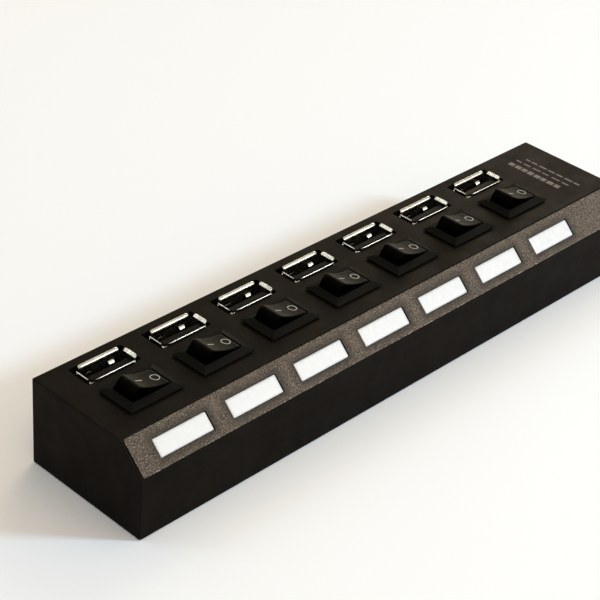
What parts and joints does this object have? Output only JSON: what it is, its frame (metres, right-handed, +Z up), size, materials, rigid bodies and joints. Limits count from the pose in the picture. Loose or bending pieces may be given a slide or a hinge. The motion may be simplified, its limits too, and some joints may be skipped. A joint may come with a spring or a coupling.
{
  "type": "usb hub",
  "caption": "Long desktop USB hub with upright ports, a rocker switch beside each one and lit windows along a sloping front edge.",
  "frame": {"origin": "centre of the footprint, on the surface that the rubber feet stand on", "axes": "+X along the row of ports towards the inlet end, +Y to the back where the ports are, +Z up"},
  "size_m": [0.1668, 0.035, 0.0261],
  "materials": {
    "housing": "fine matte grain",
    "housing_cover": "fine matte grain",
    "screw_steel": "zinc plated",
    "foot_rubber": "matte",
    "label_film": "velvet textured film",
    "window_white": "satin, translucent",
    "board_green": "solder mask",
    "chip_black": "moulded epoxy",
    "crystal_can": "drawn metal can",
    "capacitor_sleeve": "shrunk sleeve",
    "chip_ceramic": "ceramic",
    "led_resin": "clear resin",
    "insulator_black": "moulded",
    "contact_gold": "gold plated",
    "terminal_tin": "tinned",
    "port_steel": "bright nickel plate",
    "switch_black": "semi gloss",
    "rocker_black": "semi gloss",
    "plunger_brass": "plain",
    "jack_black": "moulded"
  },
  "bodies": {
    "housing": {"top_shell": "housing", "bottom_cover": "housing_cover", "cover_screws": "screw_steel", "rubber_feet": "foot_rubber", "label_film": "label_film", "light_windows": "window_white", "main_board": "board_green", "hub_chips": "chip_black", "crystals": "crystal_can", "capacitor_cans": "capacitor_sleeve", "chip_resistors": "chip_black", "chip_capacitors": "chip_ceramic", "status_leds": "led_resin", "port_insulators": "insulator_black", "port_contacts": "contact_gold", "switch_terminals": "terminal_tin", "upstream_shell": "port_steel", "upstream_insulator": "insulator_black", "upstream_contacts": "contact_gold", "power_jack_body": "jack_black", "power_jack_pin": "port_steel", "port_shell_1": "port_steel", "switch_housing_1": "switch_black", "port_shell_2": "port_steel", "switch_housing_2": "switch_black", "port_shell_3": "port_steel", "switch_housing_3": "switch_black", "port_shell_4": "port_steel", "switch_housing_4": "switch_black", "port_shell_5": "port_steel", "switch_housing_5": "switch_black", "port_shell_6": "port_steel", "switch_housing_6": "switch_black", "port_shell_7": "port_steel", "switch_housing_7": "switch_black"},
    "rocker_1": {"rocker_1": "rocker_black", "plunger_1": "plunger_brass"},
    "blade_1": {"contact_blade_1": "plunger_brass"},
    "rocker_2": {"rocker_2": "rocker_black", "plunger_2": "plunger_brass"},
    "blade_2": {"contact_blade_2": "plunger_brass"},
    "rocker_3": {"rocker_3": "rocker_black", "plunger_3": "plunger_brass"},
    "blade_3": {"contact_blade_3": "plunger_brass"},
    "rocker_4": {"rocker_4": "rocker_black", "plunger_4": "plunger_brass"},
    "blade_4": {"contact_blade_4": "plunger_brass"},
    "rocker_5": {"rocker_5": "rocker_black", "plunger_5": "plunger_brass"},
    "blade_5": {"contact_blade_5": "plunger_brass"},
    "rocker_6": {"rocker_6": "rocker_black", "plunger_6": "plunger_brass"},
    "blade_6": {"contact_blade_6": "plunger_brass"},
    "rocker_7": {"rocker_7": "rocker_black", "plunger_7": "plunger_brass"},
    "blade_7": {"contact_blade_7": "plunger_brass"}
  },
  "joints": [
    {"name": "rocker_1_tilt", "type": "hinge", "parent": "housing", "child": "rocker_1", "pos_m": [-0.06855, -0.00068, 0.0218], "axis": [0, -1, 0], "range_deg": [0, 33]},
    {"name": "blade_1_tilt", "type": "hinge", "parent": "housing", "child": "blade_1", "pos_m": [-0.06855, -0.00068, 0.0139], "axis": [0, 1, 0], "range_deg": [0, 16]},
    {"name": "rocker_2_tilt", "type": "hinge", "parent": "housing", "child": "rocker_2", "pos_m": [-0.04795, -0.00068, 0.0218], "axis": [0, -1, 0], "range_deg": [0, 33]},
    {"name": "blade_2_tilt", "type": "hinge", "parent": "housing", "child": "blade_2", "pos_m": [-0.04795, -0.00068, 0.0139], "axis": [0, 1, 0], "range_deg": [0, 16]},
    {"name": "rocker_3_tilt", "type": "hinge", "parent": "housing", "child": "rocker_3", "pos_m": [-0.02735, -0.00068, 0.0218], "axis": [0, -1, 0], "range_deg": [0, 33]},
    {"name": "blade_3_tilt", "type": "hinge", "parent": "housing", "child": "blade_3", "pos_m": [-0.02735, -0.00068, 0.0139], "axis": [0, 1, 0], "range_deg": [0, 16]},
    {"name": "rocker_4_tilt", "type": "hinge", "parent": "housing", "child": "rocker_4", "pos_m": [-0.00675, -0.00068, 0.0218], "axis": [0, -1, 0], "range_deg": [0, 33]},
    {"name": "blade_4_tilt", "type": "hinge", "parent": "housing", "child": "blade_4", "pos_m": [-0.00675, -0.00068, 0.0139], "axis": [0, 1, 0], "range_deg": [0, 16]},
    {"name": "rocker_5_tilt", "type": "hinge", "parent": "housing", "child": "rocker_5", "pos_m": [0.01385, -0.00068, 0.0218], "axis": [0, -1, 0], "range_deg": [0, 33]},
    {"name": "blade_5_tilt", "type": "hinge", "parent": "housing", "child": "blade_5", "pos_m": [0.01385, -0.00068, 0.0139], "axis": [0, 1, 0], "range_deg": [0, 16]},
    {"name": "rocker_6_tilt", "type": "hinge", "parent": "housing", "child": "rocker_6", "pos_m": [0.03445, -0.00068, 0.0218], "axis": [0, -1, 0], "range_deg": [0, 33]},
    {"name": "blade_6_tilt", "type": "hinge", "parent": "housing", "child": "blade_6", "pos_m": [0.03445, -0.00068, 0.0139], "axis": [0, 1, 0], "range_deg": [0, 16]},
    {"name": "rocker_7_tilt", "type": "hinge", "parent": "housing", "child": "rocker_7", "pos_m": [0.05505, -0.00068, 0.0218], "axis": [0, -1, 0], "range_deg": [0, 33]},
    {"name": "blade_7_tilt", "type": "hinge", "parent": "housing", "child": "blade_7", "pos_m": [0.05505, -0.00068, 0.0139], "axis": [0, 1, 0], "range_deg": [0, 16]}
  ],
  "couplings": [
    {"joint": "blade_1_tilt", "follows": "rocker_1_tilt", "ratio": 0.4848},
    {"joint": "blade_2_tilt", "follows": "rocker_2_tilt", "ratio": 0.4848},
    {"joint": "blade_3_tilt", "follows": "rocker_3_tilt", "ratio": 0.4848},
    {"joint": "blade_4_tilt", "follows": "rocker_4_tilt", "ratio": 0.4848},
    {"joint": "blade_5_tilt", "follows": "rocker_5_tilt", "ratio": 0.4848},
    {"joint": "blade_6_tilt", "follows": "rocker_6_tilt", "ratio": 0.4848},
    {"joint": "blade_7_tilt", "follows": "rocker_7_tilt", "ratio": 0.4848}
  ]
}
